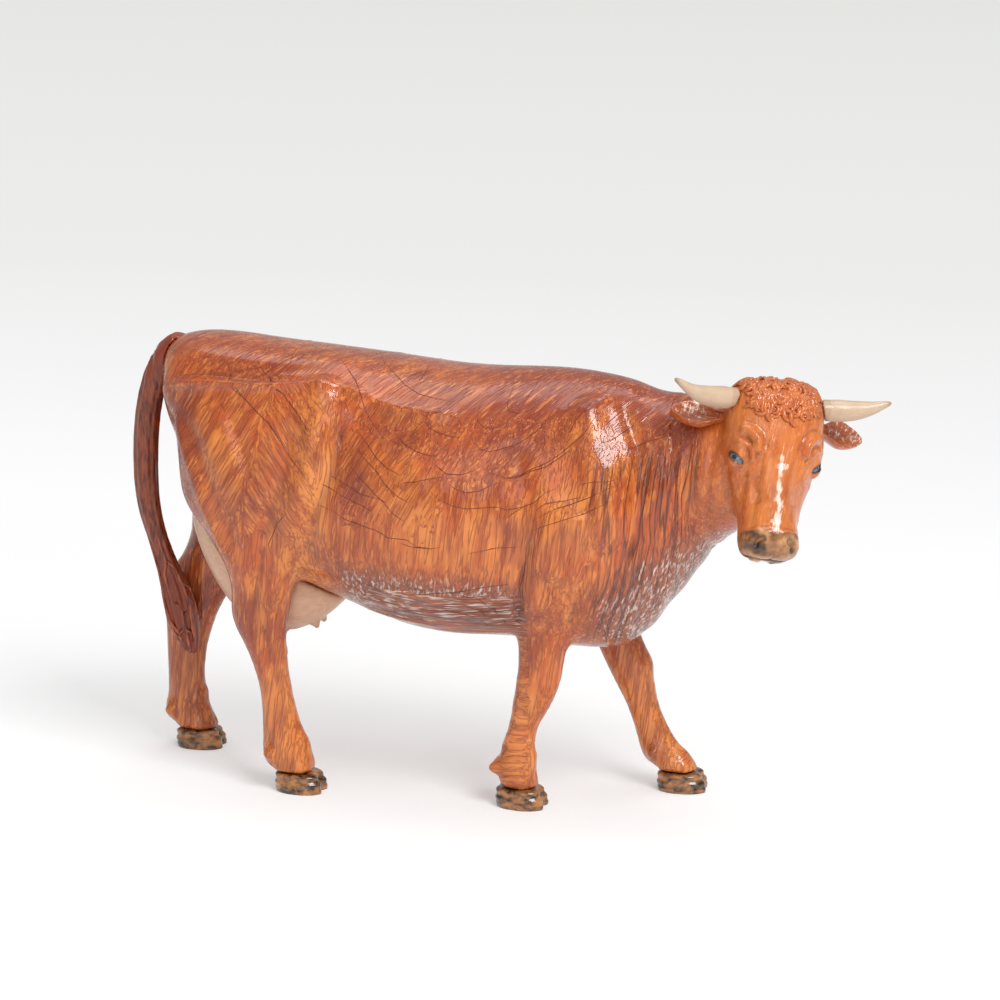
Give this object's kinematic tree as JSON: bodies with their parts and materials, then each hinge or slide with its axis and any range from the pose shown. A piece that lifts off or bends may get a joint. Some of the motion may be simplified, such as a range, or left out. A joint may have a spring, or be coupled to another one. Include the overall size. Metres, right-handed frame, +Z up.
{
  "type": "cow figurine",
  "caption": "Standing cow figurine with its head turned to one side, short outward horns, a hollow trunk, plugged-in legs and a tail that hangs against a hind leg.",
  "frame": {"origin": "on the floor under the middle of the whole figurine", "axes": "+X to the cow's front, +Y to its left, +Z up"},
  "size_m": [0.2014, 0.0576, 0.1193],
  "materials": {
    "hide_paint": "hand painted orange brown with darker streaks and a gloss varnish",
    "tail_paint": "hand painted dark brown with a gloss varnish",
    "horn_paint": "painted cream, satin",
    "skin_paint": "painted pinkish cream, satin",
    "hoof_paint": "painted near black, gloss",
    "eye_gloss": "grey blue, high gloss",
    "steel_wire": "drawn wire"
  },
  "bodies": {
    "root": {"body_shell_right": "hide_paint", "body_shell_left": "hide_paint", "head": "hide_paint", "horn_right": "horn_paint", "horn_left": "horn_paint", "ear_right": "hide_paint", "ear_left": "hide_paint", "eye_right": "eye_gloss", "eye_left": "eye_gloss", "udder": "skin_paint", "tail": "tail_paint", "tail_wire": "steel_wire", "leg_front_right": "hide_paint", "leg_front_left": "hide_paint", "leg_hind_right": "hide_paint", "leg_hind_left": "hide_paint", "hoof_front_right": "hoof_paint", "hoof_front_left": "hoof_paint", "hoof_hind_right": "hoof_paint", "hoof_hind_left": "hoof_paint", "leg_wire_front_right": "steel_wire", "leg_wire_front_left": "steel_wire", "leg_wire_hind_right": "steel_wire", "leg_wire_hind_left": "steel_wire"}
  },
  "joints": []
}
